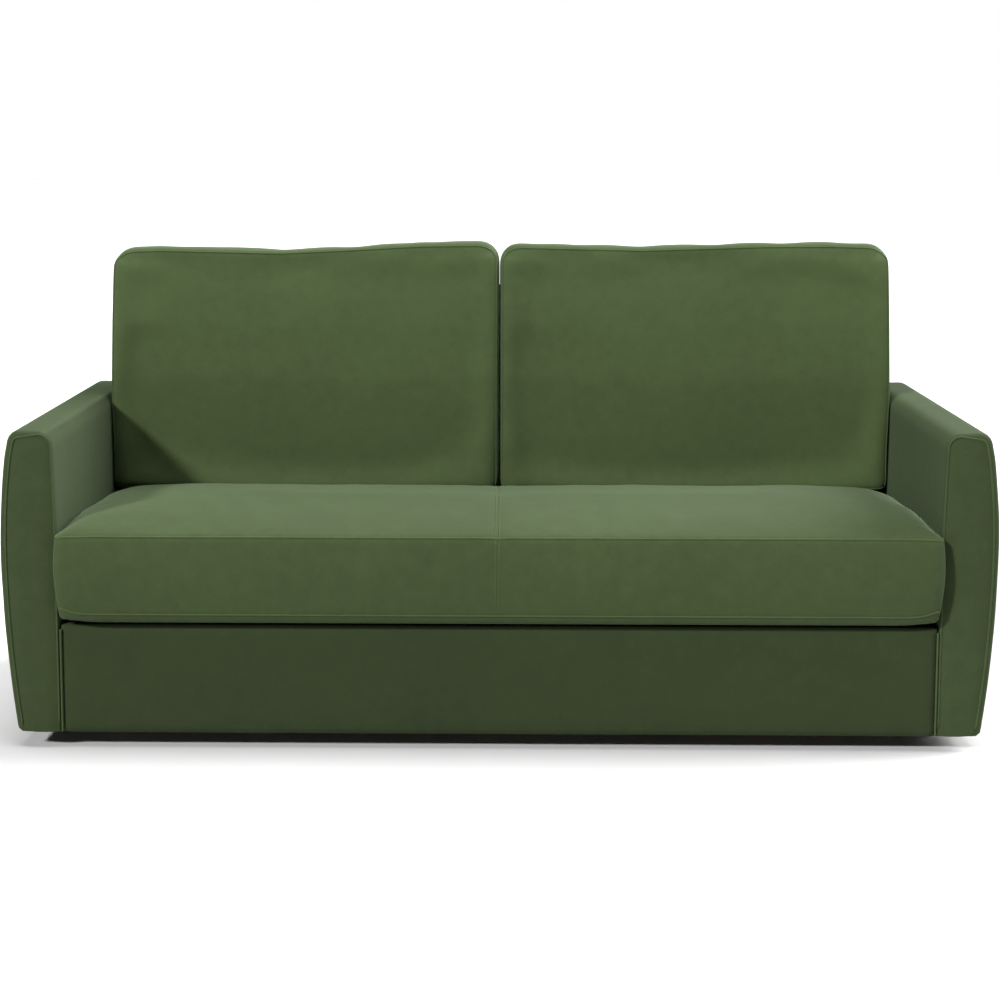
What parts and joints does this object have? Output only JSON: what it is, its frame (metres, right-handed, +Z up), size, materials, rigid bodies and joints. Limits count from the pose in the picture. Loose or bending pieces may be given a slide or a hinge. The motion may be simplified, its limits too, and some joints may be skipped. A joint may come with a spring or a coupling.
{
  "type": "fold-out sofa bed",
  "caption": "Fold-out sofa bed with a long overhanging seat cushion, leaning back cushions, rounded slab arms and a recessed front panel; seat and back flip forward into a slatted bed.",
  "frame": {"origin": "on the floor, at the centre of the overall width and depth of the sofa as folded", "axes": "+X right across the width as seen from the front, +Y towards the back panel, +Z up"},
  "size_m": [1.8898, 0.97, 0.9381],
  "materials": {
    "velvet": "matte",
    "foam": "matte",
    "timber": "matte",
    "ply": "matte",
    "beech": "satin",
    "black_plastic": "matte",
    "zinc_steel": "satin",
    "grey_frame": "satin",
    "ticking": "matte"
  },
  "bodies": {
    "carcass": {"arm_cover_left": "velvet", "arm_cover_right": "velvet", "arm_padding_left": "foam", "arm_padding_right": "foam", "arm_frame_left": "timber", "arm_frame_right": "timber", "arm_front_panel_left": "velvet", "arm_front_panel_right": "velvet", "front_board": "timber", "front_cover": "velvet", "front_piping": "velvet", "back_board": "ply", "back_cover": "velvet", "rear_rail": "timber", "feet": "black_plastic", "side_bracket_left": "zinc_steel", "side_bracket_right": "zinc_steel", "bracket_bolts": "zinc_steel", "base_pivot_pins": "zinc_steel"},
    "lift_front": {"lift_arm_front_left": "zinc_steel", "lift_arm_front_right": "zinc_steel"},
    "lift_rear": {"lift_arm_rear_left": "zinc_steel", "lift_arm_rear_right": "zinc_steel"},
    "head_section": {"head_side_rail_left": "grey_frame", "head_side_rail_right": "grey_frame", "head_cross_rails": "grey_frame", "head_slats": "beech", "head_slat_caps": "black_plastic", "mattress_head": "ticking", "lift_studs": "zinc_steel", "head_hinge_plates": "zinc_steel", "head_hinge_pins": "zinc_steel"},
    "seat_section": {"seat_side_rail_left": "grey_frame", "seat_side_rail_right": "grey_frame", "seat_cross_rails": "grey_frame", "seat_slats": "beech", "seat_slat_caps": "black_plastic", "mattress_middle": "ticking", "seat_hinge_plates": "zinc_steel", "back_hinge_pins": "zinc_steel", "seat_support_panel": "ply", "seat_cushion_cover": "velvet", "seat_cushion_core": "foam", "leg_brackets": "zinc_steel", "leg_pins": "zinc_steel"},
    "back_section": {"back_side_rail_left": "grey_frame", "back_side_rail_right": "grey_frame", "back_cross_rails": "grey_frame", "back_slats": "beech", "back_slat_caps": "black_plastic", "mattress_foot": "ticking", "back_hinge_plates": "zinc_steel", "back_support_panel": "ply", "back_cushion_left": "velvet", "back_cushion_right": "velvet", "back_cushion_cores": "foam"},
    "leg_left": {"leg_left": "grey_frame", "leg_shoe_left": "black_plastic"},
    "leg_right": {"leg_right": "grey_frame", "leg_shoe_right": "black_plastic"}
  },
  "joints": [
    {"name": "bed_opening", "type": "hinge", "parent": "carcass", "child": "lift_front", "pos_m": [0, -0.25593, 0.135], "axis": [1, 0, 0], "range_deg": [0, 130]},
    {"name": "rear_lift_turn", "type": "hinge", "parent": "carcass", "child": "lift_rear", "pos_m": [0, 0.00407, 0.135], "axis": [1, 0, 0], "range_deg": [0, 130]},
    {"name": "head_level", "type": "hinge", "parent": "lift_front", "child": "head_section", "pos_m": [0, -0.10004, 0.045], "axis": [1, 0, 0], "range_deg": [-130, 0]},
    {"name": "seat_turn", "type": "hinge", "parent": "head_section", "child": "seat_section", "pos_m": [0, -0.38493, 0.1435], "axis": [1, 0, 0], "range_deg": [0, 180]},
    {"name": "back_fold", "type": "hinge", "parent": "seat_section", "child": "back_section", "pos_m": [0, 0.30499, 0.242], "axis": [1, 0, 0], "range_deg": [-85, 0]},
    {"name": "leg_left_turn", "type": "hinge", "parent": "seat_section", "child": "leg_left", "pos_m": [-0.788, 0.23499, 0.266], "axis": [0, -1, 0], "range_deg": [0, 90]},
    {"name": "leg_right_turn", "type": "hinge", "parent": "seat_section", "child": "leg_right", "pos_m": [0.788, 0.23499, 0.266], "axis": [0, 1, 0], "range_deg": [0, 90]}
  ],
  "couplings": [
    {"joint": "rear_lift_turn", "follows": "bed_opening", "ratio": 1},
    {"joint": "head_level", "follows": "bed_opening", "ratio": -1},
    {"joint": "seat_turn", "follows": "bed_opening", "ratio": 1.3846},
    {"joint": "back_fold", "follows": "bed_opening", "ratio": -0.65385},
    {"joint": "leg_left_turn", "follows": "bed_opening", "ratio": 0.69231},
    {"joint": "leg_right_turn", "follows": "bed_opening", "ratio": 0.69231}
  ]
}
